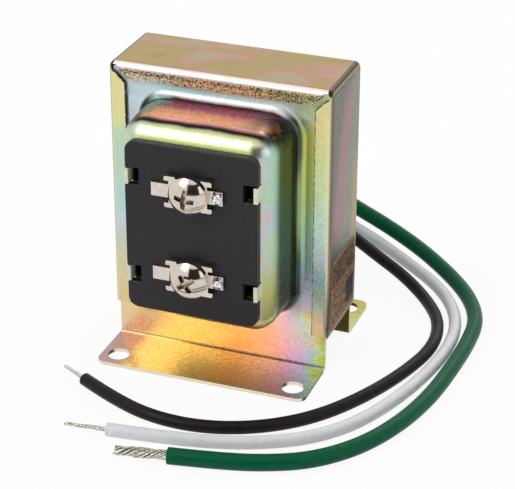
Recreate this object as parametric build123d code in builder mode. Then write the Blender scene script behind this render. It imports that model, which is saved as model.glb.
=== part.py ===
from build123d import *
import math
import os

os.makedirs("parts", exist_ok=True)

# A foot-mounted step-down transformer. X runs to the right, Y to the back and Z up.
# The origin is the centre of the four mounting holes, on the underside of the feet.

# Driving dimensions, in millimetres
sheet = 0.8                     # plated steel of the covers and the band
core_width = 47.5               # laminations laid on their side: back and legs run along X
core_height = 57.0
stack = 16.0                    # depth of the laminated core
layer_count = 25
leg = 9.5                       # outer legs and windows of the E, half its middle leg
window_length = 28.5
band_top = 65.0
band_bottom = 8.6
flange_width = 3.7              # turned-in edges down the sides of the band
lip_height = 3.5                # turned-down edge across the top of the band
lip_bend = 1.5                  # outside radius between the top and a lip
flange_bend = 1.2               # outside radius between a side and a flange
foot_length = 14.1
foot_bend = 1.2
foot_corner = 2.0
plate_corner = 1.0              # upper corners of a cover, inside the bends of the band
hole_reach = 10.0               # from a cover's face out to its foot holes
hole_spacing = 40.0
hole_radius = 2.4
dome_width = 34.0
dome_height = 45.4
dome_depth = 14.8
dome_middle = 36.2              # height of the middle of each dome
board_width = 28.8
board_height = 37.9
board_corner = 2.3
board_thickness = 1.6
terminal_spacing = 19.05
strip_thickness = 0.8
strip_left = -8.3
strip_right = 7.2
arm_width = 2.95
clamp_width = 10.3
clamp_height = 6.9
clamp_thickness = 0.8
screw_radius = 2.05
head_radius = 4.1
head_height = 2.5
wire_x = 5.4                    # where a secondary wire comes through its strip
wire_radius = 0.55
sleeve_radius = 1.0

# Places worked out from them
core_top = band_top - sheet
core_bottom = core_top - core_height
core_middle = (core_top + core_bottom) / 2
core_face = stack / 2
cover_face = core_face + sheet
band_face = cover_face + sheet
band_side = core_width / 2 + sheet
dome_face = cover_face + dome_depth
board_face = dome_face + board_thickness
strip_face = board_face + strip_thickness
clamp_face = strip_face + clamp_thickness
upper_terminal = dome_middle + terminal_spacing / 2
lower_terminal = dome_middle - terminal_spacing / 2
terminals = {"upper": upper_terminal, "lower": lower_terminal}

# The dome is drawn from the sheet with these radii, measured on its outside
dome_corner = 5.5
dome_nose = 5.0
dome_root = 2.0
dome_draft = 2.0

# Lanced tabs that hold the board at four notches
tab_height = 3.4
tab_rise = 0.3                  # how far a tab stands out of the board
tab_root = 1.5                  # how deep it starts, where the nose of the dome falls away
tab_inner = board_width / 2 - sheet
tab_offset = 11.1               # from the board's middle up or down to a notch
lance_length = 3.0
lance_depth = 2.2
notch_depth = 3.1
notch_height = 3.7

# Windows in the front dome, behind the terminals
window_width = 19.0
window_height = 9.0
window_corner = 1.5

# Cover blank: a folded foot, two holes and a drawn dome, the same for front and rear
with BuildPart() as dome_hollow:
    with BuildSketch(Plane.XZ.offset(core_face)):
        with Locations((0, dome_middle)):
            RectangleRounded(dome_width - 2 * sheet, dome_height - 2 * sheet, dome_corner - sheet)
    extrude(amount=dome_depth, taper=dome_draft)
    fillet(dome_hollow.faces().sort_by(Axis.Y)[0].edges(), radius=dome_nose - sheet)

with BuildPart() as cover_blank:
    with BuildSketch(Plane.YZ):
        with BuildLine():
            Polyline(
                (-core_face, 0),
                (-core_face, core_top),
                (-cover_face, core_top),
                (-cover_face, sheet),
                (-cover_face - foot_length, sheet),
                (-cover_face - foot_length, 0),
                close=True,
            )
        make_face()
    extrude(amount=core_width / 2, both=True)
    along_x = cover_blank.edges().filter_by(Axis.X)
    fillet(along_x.sort_by_distance((0, -core_face, 0))[0], radius=foot_bend)
    along_x = cover_blank.edges().filter_by(Axis.X)
    fillet(along_x.sort_by_distance((0, -cover_face, sheet))[0], radius=foot_bend - sheet)
    fillet(cover_blank.edges().filter_by(Axis.Z).group_by(Axis.Y)[0], radius=foot_corner)
    fillet(cover_blank.edges().filter_by(Axis.Y).group_by(Axis.Z)[-1], radius=plate_corner)
    with Locations((0, -cover_face - hole_reach, sheet)):
        with GridLocations(hole_spacing, 1, 2, 1):
            Hole(hole_radius)
    with BuildSketch(Plane.XZ.offset(cover_face)):
        with Locations((0, dome_middle)):
            RectangleRounded(dome_width, dome_height, dome_corner)
    extrude(amount=dome_depth, taper=dome_draft)
    fillet(cover_blank.faces().sort_by(Axis.Y)[0].edges(), radius=dome_nose)
    root_edges = cover_blank.edges().filter_by_position(Axis.Y, -cover_face - 0.01, -cover_face + 0.01)
    root_edges = root_edges.filter_by_position(Axis.X, -dome_width / 2 - 0.1, dome_width / 2 + 0.1)
    root_edges = root_edges.filter_by_position(Axis.Z, 5, core_top - 1)
    fillet(root_edges, radius=dome_root)
    add(dome_hollow.part, mode=Mode.SUBTRACT)
    mouth_edges = cover_blank.edges().filter_by_position(Axis.Y, -core_face - 0.01, -core_face + 0.01)
    mouth_edges = mouth_edges.filter_by_position(Axis.X, -dome_width / 2, dome_width / 2)
    mouth_edges = mouth_edges.filter_by_position(Axis.Z, 5, core_top - 1)
    fillet(mouth_edges, radius=dome_root + sheet)

# Front cover: windows behind the terminals, and four lanced tabs
with BuildPart() as front_cover:
    add(cover_blank.part)
    with BuildSketch(Plane.XZ.offset(dome_face)):
        with Locations(*[(0, height) for height in terminals.values()]):
            RectangleRounded(window_width, window_height, window_corner)
    extrude(amount=-2 * sheet, mode=Mode.SUBTRACT)
    with BuildSketch(Plane.XZ.offset(dome_face)):
        with Locations((0, dome_middle)):
            with GridLocations(2 * tab_inner - lance_length, 2 * tab_offset, 2, 2):
                Rectangle(lance_length, tab_height)
    extrude(amount=-lance_depth, mode=Mode.SUBTRACT)
    with BuildSketch(Plane.XZ.offset(dome_face - tab_root)):
        with Locations((0, dome_middle)):
            with GridLocations(2 * tab_inner + sheet, 2 * tab_offset, 2, 2):
                Rectangle(sheet, tab_height)
    extrude(amount=tab_root + board_thickness + tab_rise)
front_cover.part.label = "front_cover"
export_step(front_cover.part, "parts/front_cover.step")

# Rear cover: the same pressing turned round, with a hole for the lead bushing
bushing_x = -5.0
bushing_z = 25.2
bushing_neck = 4.9
bushing_flange = 6.2
with BuildPart() as rear_cover:
    add(mirror(cover_blank.part, about=Plane.XZ, mode=Mode.PRIVATE))
    with BuildSketch(Plane.XZ.offset(-dome_face)):
        with Locations((bushing_x, bushing_z)):
            Circle(bushing_neck + 0.05)
    extrude(amount=2 * sheet, mode=Mode.SUBTRACT)
rear_cover.part.label = "rear_cover"
export_step(rear_cover.part, "parts/rear_cover.step")

# Clamp band: one strip over the top and down both sides, its edges turned in over the covers
slot_width = 1.1                # open mitre between the lip and each flange
slot_length = 5.4
slot_middle = 3.0               # from the outer corner of the band, both ways
slot_cut = 2.0                  # depth, through the lip and into the bend behind it
relief_radius = 0.9             # round hole where the three bends would meet
relief_middle = 1.5
with BuildPart() as clamp_band:
    with BuildSketch(Plane.XY.offset(band_bottom)):
        Rectangle(2 * band_side, 2 * band_face)
    extrude(amount=band_top - band_bottom)
    fillet(clamp_band.edges().filter_by(Axis.Z), radius=flange_bend)
    fillet(clamp_band.faces().sort_by(Axis.Z)[-1].edges(), radius=lip_bend)
    with BuildSketch(Plane.XY.offset(band_bottom)):
        Rectangle(core_width, 2 * cover_face)
    extrude(amount=core_top - band_bottom, mode=Mode.SUBTRACT)
    with BuildSketch(Plane.XZ.offset(band_face)):
        with Locations((0, (band_bottom + band_top - lip_height) / 2)):
            Rectangle(2 * (band_side - flange_width), band_top - lip_height - band_bottom)
    extrude(amount=-2 * band_face, mode=Mode.SUBTRACT)
    for side in (1, -1):
        for face, depth in ((band_face, -slot_cut), (-band_face, slot_cut)):
            with BuildSketch(Plane.XZ.offset(face)):
                with Locations(Location((side * (band_side - slot_middle), band_top - slot_middle), 45 * side)):
                    SlotOverall(slot_length, slot_width)
                with Locations((side * (band_side - relief_middle), band_top - relief_middle)):
                    Circle(relief_radius)
            extrude(amount=depth, mode=Mode.SUBTRACT)
clamp_band.part.label = "clamp_band"
export_step(clamp_band.part, "parts/clamp_band.step")

# Core: E and I sheets laid alternately from the left and from the right
layer = stack / layer_count
varnish = 0.02                  # film between two sheets
with BuildPart() as e_sheet:
    with BuildSketch(Plane.XZ.offset(core_face)):
        with Locations((-leg / 2, core_middle)):
            Rectangle(core_width - leg, core_height)
        with Locations((leg / 2, core_middle)):
            with GridLocations(1, 3 * leg, 1, 2):
                Rectangle(window_length + leg, leg, mode=Mode.SUBTRACT)
    extrude(amount=varnish - layer)

with BuildPart() as i_sheet:
    with BuildSketch(Plane.XZ.offset(core_face)):
        with Locations(((core_width - leg) / 2, core_middle)):
            Rectangle(leg, core_height)
    extrude(amount=varnish - layer)


def stack_layers(sheet_part):
    """Copies of one sheet for every layer, every second one turned to the other side."""
    turned = mirror(sheet_part, about=Plane.YZ, mode=Mode.PRIVATE)
    placed = []
    for index in range(layer_count):
        piece = sheet_part if index % 2 == 0 else turned
        placed.append(piece.moved(Location((0, index * layer, 0))).solid())
    return Compound(placed)


e_laminations = stack_layers(e_sheet.part)
e_laminations.label = "e_laminations"
export_step(e_laminations, "parts/e_laminations.step")
i_laminations = stack_layers(i_sheet.part)
i_laminations.label = "i_laminations"
export_step(i_laminations, "parts/i_laminations.step")

# Bobbin: a square tube round the middle leg, with three flanges
bobbin_wall = 0.9
tube_depth = stack + 0.2
tube_height = 2 * leg + 0.2
flange_depth = 34.0
flange_height = 4 * leg - 0.2
primary_end = 1.0               # X of the partition's left face
with BuildPart() as bobbin:
    with BuildSketch(Plane.YZ.offset(-window_length / 2)):
        with Locations((0, core_middle)):
            Rectangle(tube_depth + 2 * bobbin_wall, tube_height + 2 * bobbin_wall)
    extrude(amount=window_length)
    for place in (-window_length / 2, primary_end, window_length / 2 - bobbin_wall):
        with BuildSketch(Plane.YZ.offset(place)):
            with Locations((0, core_middle)):
                RectangleRounded(flange_depth, flange_height, 2.0)
        extrude(amount=bobbin_wall)
    with BuildSketch(Plane.YZ.offset(-window_length / 2)):
        with Locations((0, core_middle)):
            Rectangle(tube_depth, tube_height)
    extrude(amount=window_length, mode=Mode.SUBTRACT)
bobbin.part.label = "bobbin"
export_step(bobbin.part, "parts/bobbin.step")

# Windings, one each side of the partition, each under a wrap of tape
build_up = 7.2
tape = 0.3
chambers = {
    "primary": (-window_length / 2 + bobbin_wall, primary_end),
    "secondary": (primary_end + bobbin_wall, window_length / 2 - bobbin_wall),
}
coil_depth = tube_depth + 2 * bobbin_wall
coil_height = tube_height + 2 * bobbin_wall
for name, (start, end) in chambers.items():
    with BuildPart() as winding:
        with BuildSketch(Plane.YZ.offset(start)):
            with Locations((0, core_middle)):
                RectangleRounded(coil_depth + 2 * build_up, coil_height + 2 * build_up, build_up)
                Rectangle(coil_depth, coil_height, mode=Mode.SUBTRACT)
        extrude(amount=end - start)
    winding.part.label = name + "_winding"
    export_step(winding.part, "parts/" + name + "_winding.step")
    with BuildPart() as wrap:
        wound_depth = coil_depth + 2 * build_up
        wound_height = coil_height + 2 * build_up
        with BuildSketch(Plane.YZ.offset(start)):
            with Locations((0, core_middle)):
                RectangleRounded(wound_depth + 2 * tape, wound_height + 2 * tape, build_up + tape)
                RectangleRounded(wound_depth, wound_height, build_up, mode=Mode.SUBTRACT)
        extrude(amount=end - start)
    wrap.part.label = name + "_wrap"
    export_step(wrap.part, "parts/" + name + "_wrap.step")
coil_face = coil_depth / 2 + build_up + tape

# Thermal cut-out: a flat can on the back of the primary, under a strip of tape
cutout_x = -6.5
cutout_z = 44.0
cutout_width = 9.0
cutout_height = 4.4
cutout_depth = 2.4
strip_gauge = 0.2
strip_length = 12.4
strip_width = 3.0
with BuildPart() as thermal_cutout:
    with BuildSketch(Plane.XZ.offset(-coil_face)):
        with Locations((cutout_x, cutout_z)):
            Rectangle(cutout_width, cutout_height)
    extrude(amount=-cutout_depth)
    chamfer(thermal_cutout.edges().filter_by(Axis.X).group_by(Axis.Y)[-1], length=0.6)
thermal_cutout.part.label = "thermal_cutout"
export_step(thermal_cutout.part, "parts/thermal_cutout.step")

with BuildPart() as cutout_tape:
    with BuildSketch(Plane.XY.offset(cutout_z - strip_width / 2)):
        with Locations((cutout_x, coil_face + (cutout_depth + strip_gauge) / 2)):
            Rectangle(strip_length, cutout_depth + strip_gauge)
        with Locations((cutout_x, coil_face + cutout_depth / 2)):
            Rectangle(cutout_width, cutout_depth, mode=Mode.SUBTRACT)
    extrude(amount=strip_width)
cutout_tape.part.label = "cutout_tape"
export_step(cutout_tape.part, "parts/cutout_tape.step")

# Terminal board: a notched plate with holes for the screws, the strips and the wires
collar_radius = 2.9
clearance = 0.1
prong_places = (strip_left + strip_thickness / 2, strip_right - strip_thickness / 2)
with BuildPart() as terminal_board:
    with BuildSketch(Plane.XZ.offset(dome_face)):
        with Locations((0, dome_middle)):
            RectangleRounded(board_width, board_height, board_corner)
            with GridLocations(board_width, 2 * tab_offset, 2, 2):
                Rectangle(2 * notch_depth, notch_height, mode=Mode.SUBTRACT)
        for height in terminals.values():
            with Locations((0, height)):
                Circle(collar_radius + clearance, mode=Mode.SUBTRACT)
            with Locations(*[(place, height) for place in prong_places]):
                Rectangle(strip_thickness + clearance, arm_width + clearance, mode=Mode.SUBTRACT)
            with Locations((wire_x, height)):
                Circle(wire_radius + clearance, mode=Mode.SUBTRACT)
    extrude(amount=board_thickness)
    chamfer(terminal_board.faces().sort_by(Axis.Y)[0].outer_wire().edges().filter_by(Axis.X), length=0.2)
terminal_board.part.label = "terminal_board"
export_step(terminal_board.part, "parts/terminal_board.step")

# Terminals: a strip with a threaded collar, a clamp plate, a screw, and the soldered wire
seat_width = 6.6                # where the strip widens round its collar
seat_height = 6.2
collar_length = 1.8
prong_length = 2.6
solder_length = 2.3
solder_height = 0.7
wire_end = 0.3                  # how far a wire stands into its solder
for name, height in terminals.items():
    with BuildPart() as terminal_strip:
        with BuildSketch(Plane.XZ.offset(board_face)):
            with Locations(((strip_left + strip_right) / 2, height)):
                Rectangle(strip_right - strip_left, arm_width)
            with Locations((0, height)):
                RectangleRounded(seat_width, seat_height, 1.0)
        extrude(amount=strip_thickness)
        with BuildSketch(Plane.XZ.offset(board_face)):
            with Locations((0, height)):
                Circle(collar_radius)
        extrude(amount=-collar_length)
        with BuildSketch(Plane.XZ.offset(board_face)):
            with Locations(*[(place, height) for place in prong_places]):
                Rectangle(strip_thickness, arm_width)
        extrude(amount=-prong_length)
        with BuildSketch(Plane.XZ.offset(strip_face)):
            with Locations((0, height)):
                Circle(screw_radius)
            with Locations((wire_x, height)):
                Circle(wire_radius)
        extrude(amount=-4.0, mode=Mode.SUBTRACT)
    terminal_strip.part.label = name + "_terminal_strip"
    export_step(terminal_strip.part, "parts/" + name + "_terminal_strip.step")

    with BuildPart() as clamp_plate:
        with BuildSketch(Plane.XZ.offset(strip_face)):
            with Locations((0, height + 0.2)):
                RectangleRounded(clamp_width, clamp_height, 0.4)
                with GridLocations(clamp_width, 1, 2, 1):
                    Rectangle(2.0, 4.9, mode=Mode.SUBTRACT)
                with GridLocations(1, clamp_height, 1, 2):
                    Rectangle(5.6, 0.7, mode=Mode.SUBTRACT)
            with Locations((0, height)):
                Circle(screw_radius + 0.15, mode=Mode.SUBTRACT)
        extrude(amount=clamp_thickness)
    clamp_plate.part.label = name + "_clamp_plate"
    export_step(clamp_plate.part, "parts/" + name + "_clamp_plate.step")

    with BuildPart() as solder_joint:
        with BuildSketch(Plane.XZ.offset(strip_face)):
            with Locations((strip_right - solder_length / 2, height)):
                Rectangle(solder_length, arm_width)
        extrude(amount=solder_height)
        chamfer(solder_joint.faces().sort_by(Axis.Y)[0].edges(), length=solder_height / 2)
        with BuildSketch(Plane.XZ.offset(strip_face)):
            with Locations((wire_x, height)):
                Circle(wire_radius)
        extrude(amount=wire_end, mode=Mode.SUBTRACT)
    solder_joint.part.label = name + "_solder_joint"
    export_step(solder_joint.part, "parts/" + name + "_solder_joint.step")

    with BuildPart() as secondary_wire:
        with BuildSketch(Plane.XZ.offset(coil_face)):
            with Locations((wire_x, height)):
                Circle(wire_radius)
        extrude(amount=strip_face + wire_end - coil_face)
        with BuildSketch(Plane.XZ.offset(coil_face)):
            with Locations((wire_x, height)):
                Circle(sleeve_radius)
        extrude(amount=dome_face - clearance - coil_face)
    secondary_wire.part.label = name + "_secondary_wire"
    export_step(secondary_wire.part, "parts/" + name + "_secondary_wire.step")

# Terminal screws: a domed head with a tapered cross recess, on a plain shank
screw_length = 6.4
screw_point = 0.4
rim = 0.6
crown = head_height - rim
crown_radius = (head_radius**2 + crown**2) / (2 * crown)
recess_width = 1.1
recess_span = 4.4
recess_heart = 1.9              # square in the middle of the cross, its corners between the arms
recess_depth = 1.5
recess_turn = {"upper": -8.0, "lower": 33.0}
for name, height in terminals.items():
    seat = (0, -clamp_face, height)
    with BuildPart() as terminal_screw:
        with BuildSketch(Plane(origin=seat, z_dir=(0, 0, 1))):
            with BuildLine():
                Polyline(
                    (0, -head_height),
                    (0, screw_length),
                    (screw_radius - screw_point, screw_length),
                    (screw_radius, screw_length - screw_point),
                    (screw_radius, 0),
                    (head_radius, 0),
                    (head_radius, -rim),
                )
                RadiusArc((head_radius, -rim), (0, -head_height), crown_radius)
            make_face()
        revolve(axis=Axis(seat, (0, 1, 0)))
        for turn in (recess_turn[name], recess_turn[name] + 90):
            with BuildSketch(Plane.XZ.offset(clamp_face + head_height)):
                with Locations((0, height)):
                    Rectangle(recess_span, recess_width, rotation=turn)
            extrude(amount=-recess_depth, taper=10, mode=Mode.SUBTRACT)
        with BuildSketch(Plane.XZ.offset(clamp_face + head_height)):
            with Locations((0, height)):
                Rectangle(recess_heart, recess_heart, rotation=recess_turn[name] + 45)
        extrude(amount=-recess_depth, taper=10, mode=Mode.SUBTRACT)
    terminal_screw.part.label = name + "_terminal_screw"
    export_step(terminal_screw.part, "parts/" + name + "_terminal_screw.step")

# Lead bushing: a round flange outside, a neck through the cover, a snap rib inside
lead_radius = {"black": 1.4, "white": 1.4, "green": 1.75}
lead_seat = {
    "black": (bushing_x + 2.3, bushing_z - 1.5),
    "white": (bushing_x - 2.3, bushing_z - 1.5),
    "green": (bushing_x, bushing_z + 2.35),
}
bushing_plate = 1.2
bushing_depth = 1.6             # how far the neck reaches inside the sheet
rib_height = 0.5
rib_width = 1.0
with BuildPart() as lead_bushing:
    with BuildSketch(Plane.XZ.offset(-dome_face)):
        with Locations((bushing_x, bushing_z)):
            Circle(bushing_flange)
    extrude(amount=-bushing_plate)
    chamfer(lead_bushing.faces().sort_by(Axis.Y)[-1].edges(), length=0.5)
    with BuildSketch(Plane.XZ.offset(-dome_face)):
        with Locations((bushing_x, bushing_z)):
            Circle(bushing_neck)
    extrude(amount=sheet + bushing_depth)
    with BuildSketch(Plane.XZ.offset(-dome_face + sheet)):
        with Locations((bushing_x, bushing_z)):
            Circle(bushing_neck + rib_height)
    extrude(amount=rib_width, taper=20)
    with BuildSketch(Plane.XZ.offset(-dome_face - bushing_plate)):
        for colour, seat in lead_seat.items():
            with Locations(seat):
                Circle(lead_radius[colour])
    extrude(amount=bushing_plate + sheet + bushing_depth, mode=Mode.SUBTRACT)
lead_bushing.part.label = "lead_bushing"
export_step(lead_bushing.part, "parts/lead_bushing.step")

# Inside the rear dome: closed-end splices for the line leads, and a strap that bonds the green one
lead_start = 19.5               # Y of the inner end of every lead
splice_radius = 1.9
splice_length = 4.4
for colour in ("black", "white"):
    with BuildPart() as splice:
        with BuildSketch(Plane.XZ.offset(-coil_face)):
            with Locations(lead_seat[colour]):
                Circle(splice_radius)
        extrude(amount=-splice_length)
        chamfer(splice.faces().sort_by(Axis.Y)[0].edges(), length=0.4)
        with BuildSketch(Plane.XZ.offset(-lead_start)):
            with Locations(lead_seat[colour]):
                Circle(lead_radius[colour])
        extrude(amount=-splice_length, mode=Mode.SUBTRACT)
    splice.part.label = colour + "_splice"
    export_step(splice.part, "parts/" + colour + "_splice.step")

green_x, green_z = lead_seat["green"]
dome_inside = dome_face - sheet
strap_gauge = 0.6
strap_width = 3.0
strap_foot = lead_start - 1.2   # Y where the strap and its barrel begin
strap_step = green_z + 5.5      # height where it crosses over to the dome
strap_top = green_z + 11.0
barrel_radius = 2.2
barrel_length = 2.8
with BuildPart() as ground_strap:
    with BuildSketch(Plane.XZ.offset(-strap_foot)):
        with Locations((green_x, green_z)):
            Circle(barrel_radius)
    extrude(amount=-barrel_length)
    with BuildSketch(Plane.YZ.offset(green_x - strap_width / 2)):
        with BuildLine():
            strap_line = FilletPolyline(
                (strap_foot + strap_gauge / 2, green_z + lead_radius["green"]),
                (strap_foot + strap_gauge / 2, strap_step),
                (dome_inside - strap_gauge / 2, strap_step),
                (dome_inside - strap_gauge / 2, strap_top),
                radius=0.8,
            )
            offset(strap_line, amount=strap_gauge / 2, side=Side.BOTH)
        make_face()
    extrude(amount=strap_width)
    with BuildSketch(Plane.XZ.offset(-lead_start)):
        with Locations((green_x, green_z)):
            Circle(lead_radius["green"])
    extrude(amount=-barrel_length, mode=Mode.SUBTRACT)
ground_strap.part.label = "ground_strap"
export_step(ground_strap.part, "parts/ground_strap.step")

# Leads: each route is a hand-laid list of corners, rounded as far as its two runs allow
routes = {
    "green": [
        (-5, 19.5, 27.55), (-5, 29.8, 27.55), (-2.5, 39, 23.5), (3, 46, 17.5), (11, 49, 11.5),
        (20.5, 48.5, 7.5), (29.5, 45.5, 4.5), (38, 39.5, 2.5), (45, 31.5, 1.75), (49.5, 21.5, 1.75),
        (50.2, 10.5, 1.75), (49.7, -1, 1.75), (48.7, -13, 1.75), (46, -25, 1.75), (41, -36.5, 1.75),
        (33.5, -45, 1.75), (24.5, -49.5, 1.75), (15, -52, 1.75), (6, -53.5, 1.75),
    ],
    "white": [
        (-7.3, 19.5, 23.7), (-7.3, 29, 23.7), (-4, 37.5, 20.5), (1.5, 43.5, 15), (9.5, 45.5, 9),
        (19, 45, 5), (28, 41, 2.5), (36.5, 35, 1.4), (42.8, 26, 1.4), (46.2, 16, 1.4), (46.5, 5, 1.4),
        (44.8, -6.5, 1.4), (41.6, -18, 1.4), (37, -28.8, 1.4), (30.2, -37, 1.4), (21.5, -42.2, 1.4),
        (12, -45.4, 1.4), (1.5, -47.2, 1.4), (-9.5, -48.4, 1.4),
    ],
    "black": [
        (-2.7, 19.5, 23.7), (-2.7, 28.2, 23.7), (-0.5, 36, 20), (4.5, 40.5, 14), (12, 41, 8.5),
        (20.5, 37.5, 5.5), (29, 33, 3.5), (36.5, 27, 1.4), (41.8, 18, 1.4), (43.5, 6.5, 1.4),
        (40.3, -6.5, 1.4), (35.3, -18.5, 1.4), (28.5, -29.3, 1.4), (19.5, -36.8, 1.4), (8.5, -41, 1.4),
        (-3, -40.8, 1.4), (-13.5, -36.8, 1.4), (-22, -32, 1.4),
    ],
}
strand_radius = {"black": 0.6, "white": 0.6, "green": 1.25}
strand_length = {"black": 7.5, "white": 9.5, "green": 11.3}


def corner_radii(route):
    """The largest radius that both runs at each corner leave room for."""
    corners = [Vector(*point) for point in route]
    radii = []
    for before, corner, after in zip(corners, corners[1:], corners[2:]):
        turn = math.radians((corner - before).get_angle(after - corner))
        run = min((corner - before).length, (after - corner).length)
        radii.append(0.45 * run / math.tan(turn / 2))
    return radii


for colour, route in routes.items():
    radii = corner_radii(route)
    radius = lead_radius[colour]
    with BuildPart() as lead:
        with BuildLine():
            centre_line = FilletPolyline(*route, radius=radii)
        with BuildSketch(Plane(origin=route[0], z_dir=(0, 1, 0))):
            Circle(radius)
        sweep()
    lead.part.label = colour + "_lead"
    export_step(lead.part, "parts/" + colour + "_lead.step")
    length = centre_line.length
    print(colour, "lead", round(length, 1), "mm, volume", round(lead.part.volume, 1))
    print("  section by length", round(math.pi * radius**2 * length, 1))
    print("  radii in diameters", [round(value / (2 * radius), 1) for value in radii])

    bare_direction = Vector(*route[-1]) - Vector(*route[-2])
    with BuildPart() as strands:
        with BuildSketch(Plane(origin=route[-1], z_dir=bare_direction)):
            Circle(strand_radius[colour])
        extrude(amount=strand_length[colour])
    strands.part.label = colour + "_lead_strands"
    export_step(strands.part, "parts/" + colour + "_lead_strands.step")
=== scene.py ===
import math

import bmesh
import bpy
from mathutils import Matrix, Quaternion, Vector, noise


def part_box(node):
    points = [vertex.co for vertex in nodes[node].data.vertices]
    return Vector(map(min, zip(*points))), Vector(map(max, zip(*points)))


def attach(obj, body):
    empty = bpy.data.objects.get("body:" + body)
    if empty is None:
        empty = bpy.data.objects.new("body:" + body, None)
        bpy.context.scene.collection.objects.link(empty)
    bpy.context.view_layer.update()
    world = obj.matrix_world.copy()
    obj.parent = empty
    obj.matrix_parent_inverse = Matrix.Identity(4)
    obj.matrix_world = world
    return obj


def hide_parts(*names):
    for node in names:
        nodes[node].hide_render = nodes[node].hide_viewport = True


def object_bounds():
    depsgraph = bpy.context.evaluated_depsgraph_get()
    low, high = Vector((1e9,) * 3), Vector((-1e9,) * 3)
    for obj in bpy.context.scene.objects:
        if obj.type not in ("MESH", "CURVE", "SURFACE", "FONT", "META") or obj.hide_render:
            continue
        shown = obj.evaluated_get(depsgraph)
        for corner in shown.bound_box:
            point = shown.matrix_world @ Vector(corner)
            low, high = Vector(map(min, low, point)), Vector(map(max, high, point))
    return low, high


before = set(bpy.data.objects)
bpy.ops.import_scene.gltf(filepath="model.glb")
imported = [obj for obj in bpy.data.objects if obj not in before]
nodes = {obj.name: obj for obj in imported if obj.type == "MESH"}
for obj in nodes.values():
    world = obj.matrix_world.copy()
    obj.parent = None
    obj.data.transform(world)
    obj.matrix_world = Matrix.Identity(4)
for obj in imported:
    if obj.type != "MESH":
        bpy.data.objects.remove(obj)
cad_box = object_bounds()
band_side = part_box("clamp_band")[1][0]
scene = bpy.context.scene
scene.view_settings.view_transform = "Standard"

# Camera at the photograph's viewing angle
CAMERA_AIM = Vector((0.00492, 0.0004, 0.02278))
CAMERA_DISTANCE = 0.4184
CAMERA_LENS = 135.1
azimuth = math.radians(20.24)
elevation = math.radians(26.96)
roll = Quaternion((0, 0, 1), math.radians(0.17))
back = Vector((
    math.sin(azimuth) * math.cos(elevation),
    -math.cos(azimuth) * math.cos(elevation),
    math.sin(elevation),
))
camera_data = bpy.data.cameras.new("camera")
camera_data.lens = CAMERA_LENS
camera_data.clip_start = 0.02
camera = bpy.data.objects.new("camera", camera_data)
camera.location = CAMERA_AIM + back * CAMERA_DISTANCE
camera.rotation_mode = "QUATERNION"
camera.rotation_quaternion = (-back).to_track_quat("-Z", "Y") @ roll
scene.collection.objects.link(camera)
scene.camera = camera

# Lead routes, in metres
ROUTES = {
    "green": [
        (-0.005, 0.0195, 0.02755), (-0.005, 0.0298, 0.02755), (-0.0025, 0.039, 0.0235),
        (0.003, 0.046, 0.0175), (0.011, 0.049, 0.0115), (0.0205, 0.0485, 0.0075),
        (0.0295, 0.0455, 0.0045), (0.038, 0.0395, 0.0025), (0.045, 0.0315, 0.00175),
        (0.0495, 0.0215, 0.00175), (0.0502, 0.0105, 0.00175), (0.0497, -0.001, 0.00175),
        (0.0487, -0.013, 0.00175), (0.046, -0.025, 0.00175), (0.041, -0.0365, 0.00175),
        (0.0335, -0.045, 0.00175), (0.0245, -0.0495, 0.00175), (0.015, -0.052, 0.00175),
        (0.006, -0.0535, 0.00175),
    ],
    "white": [
        (-0.0073, 0.0195, 0.0237), (-0.0073, 0.029, 0.0237), (-0.004, 0.0375, 0.0205),
        (0.0015, 0.0435, 0.015), (0.0095, 0.0455, 0.009), (0.019, 0.045, 0.005),
        (0.028, 0.041, 0.0025), (0.0365, 0.035, 0.0014), (0.0428, 0.026, 0.0014),
        (0.0462, 0.016, 0.0014), (0.0465, 0.005, 0.0014), (0.0448, -0.0065, 0.0014),
        (0.0416, -0.018, 0.0014), (0.037, -0.0288, 0.0014), (0.0302, -0.037, 0.0014),
        (0.0215, -0.0422, 0.0014), (0.012, -0.0454, 0.0014), (0.0015, -0.0472, 0.0014),
        (-0.0095, -0.0484, 0.0014),
    ],
    "black": [
        (-0.0027, 0.0195, 0.0237), (-0.0027, 0.0282, 0.0237), (-0.0005, 0.036, 0.02),
        (0.0045, 0.0405, 0.014), (0.012, 0.041, 0.0085), (0.0205, 0.0375, 0.0055),
        (0.029, 0.033, 0.0035), (0.0365, 0.027, 0.0014), (0.0418, 0.018, 0.0014),
        (0.0435, 0.0065, 0.0014), (0.0403, -0.0065, 0.0014), (0.0353, -0.0185, 0.0014),
        (0.0285, -0.0293, 0.0014), (0.0195, -0.0368, 0.0014), (0.0085, -0.041, 0.0014),
        (-0.003, -0.0408, 0.0014), (-0.0135, -0.0368, 0.0014), (-0.022, -0.032, 0.0014),
    ],
}
LEAD_RADIUS = {"green": 0.00175, "white": 0.0014, "black": 0.0014}
BARE_RADIUS = {"green": 0.00125, "white": 0.0006, "black": 0.0006}
BARE_LENGTH = {"green": 0.0113, "white": 0.0095, "black": 0.0075}

# How the wires of a bare end lie: rings as (share of the bundle's radius, count of wires), a
# wire's share of that radius, turns along the end, and how far the bundle draws in at its tip
COARSE_WIRES = (((0.0, 1), (0.36, 6), (0.76, 11)), 0.17, 1.1, 0.0)
FINE_WIRES = (((0.0, 1), (0.62, 6)), 0.30, 2.6, 0.35)
BARE_WIRES = {"green": COARSE_WIRES, "white": FINE_WIRES, "black": FINE_WIRES}
WIRE_STEPS = 26
WIRE_START = 0.0004     # how far inside the insulation the wires begin


def new_piece(name, data):
    """An object of the one rigid body, around a mesh or a curve."""
    piece = bpy.data.objects.new(name, data)
    scene.collection.objects.link(piece)
    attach(piece, "root")
    return piece


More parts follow.
